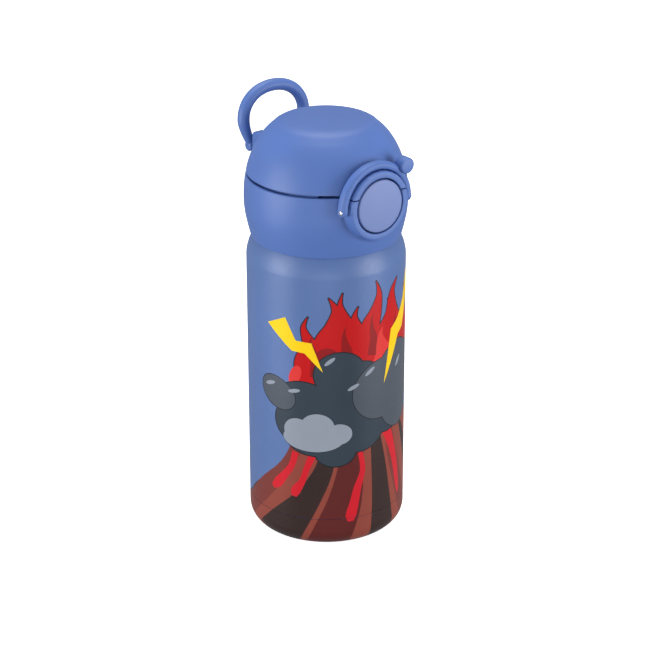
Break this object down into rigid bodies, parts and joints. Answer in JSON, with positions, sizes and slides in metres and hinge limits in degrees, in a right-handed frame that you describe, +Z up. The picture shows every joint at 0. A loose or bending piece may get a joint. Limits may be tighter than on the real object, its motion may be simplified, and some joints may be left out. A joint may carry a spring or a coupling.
{
  "type": "kids water bottle",
  "caption": "Insulated steel kids' bottle with a screw-on lid, a push-button flip cap over a straw mouthpiece, a lock bail round the button and a carry loop.",
  "frame": {"origin": "centre of the flat base", "axes": "+Z up along the bottle's axis; the push button faces -Y and the cap's hinge is at +Y"},
  "size_m": [0.0714, 0.0811, 0.1979],
  "materials": {
    "coated_steel": "matt powder coat, printed",
    "bare_steel": "brushed",
    "lid_plastic": "satin",
    "button_plastic": "satin",
    "inner_plastic": "satin",
    "straw_plastic": "clear",
    "mouthpiece_silicone": "matt",
    "seal_silicone": "matt",
    "spring_steel": "bright"
  },
  "bodies": {
    "bottle": {"outer_shell": "coated_steel", "bottom_shell": "coated_steel", "inner_liner": "bare_steel", "vacuum_getter": "spring_steel"},
    "riser": {"straw": "straw_plastic", "mouth_gasket": "seal_silicone"},
    "lid": {"collar_shell": "lid_plastic", "thread_insert": "inner_plastic", "upper_bezel": "lid_plastic", "spout_socket": "inner_plastic", "spout": "mouthpiece_silicone", "vent_valve": "seal_silicone", "hinge_pin": "bare_steel", "hinge_spring": "spring_steel", "button_spring": "spring_steel", "bail_pin_left": "bare_steel", "bail_pin_right": "bare_steel"},
    "cap": {"cap_shell": "lid_plastic", "cap_liner": "inner_plastic", "cap_seal": "seal_silicone", "handle_pin_left": "bare_steel", "handle_pin_right": "bare_steel"},
    "button": {"push_button": "button_plastic", "latch_hook": "inner_plastic"},
    "bail": {"lock_bail": "lid_plastic"},
    "handle": {"carry_loop": "lid_plastic"}
  },
  "joints": [
    {"name": "thread_rise", "type": "slide", "parent": "bottle", "child": "riser", "axis": [0, 0, 1], "range_m": [0, 0.0071]},
    {"name": "lid_turn", "type": "hinge", "parent": "riser", "child": "lid", "pos_m": [0, 0, 0.15], "axis": [0, 0, 1], "range_deg": [0, 630]},
    {"name": "cap_flip", "type": "hinge", "parent": "lid", "child": "cap", "pos_m": [0, 0.0365, 0.1655], "axis": [-1, 0, 0], "range_deg": [0, 105]},
    {"name": "button_press", "type": "slide", "parent": "lid", "child": "button", "axis": [0, 1, 0], "range_m": [0, 0.002], "stiffness_N_per_m": 400, "springref_m": -0.002, "deforming": ["button_spring"]},
    {"name": "bail_swing", "type": "hinge", "parent": "lid", "child": "bail", "pos_m": [0, -0.0345, 0.161], "axis": [1, 0, 0], "range_deg": [0, 150]},
    {"name": "handle_swing", "type": "hinge", "parent": "cap", "child": "handle", "pos_m": [0, 0.0372, 0.1705], "axis": [-1, 0, 0], "range_deg": [0, 70]}
  ],
  "couplings": [
    {"joint": "thread_rise", "follows": "lid_turn", "m_per_rad": 0.00063662}
  ]
}
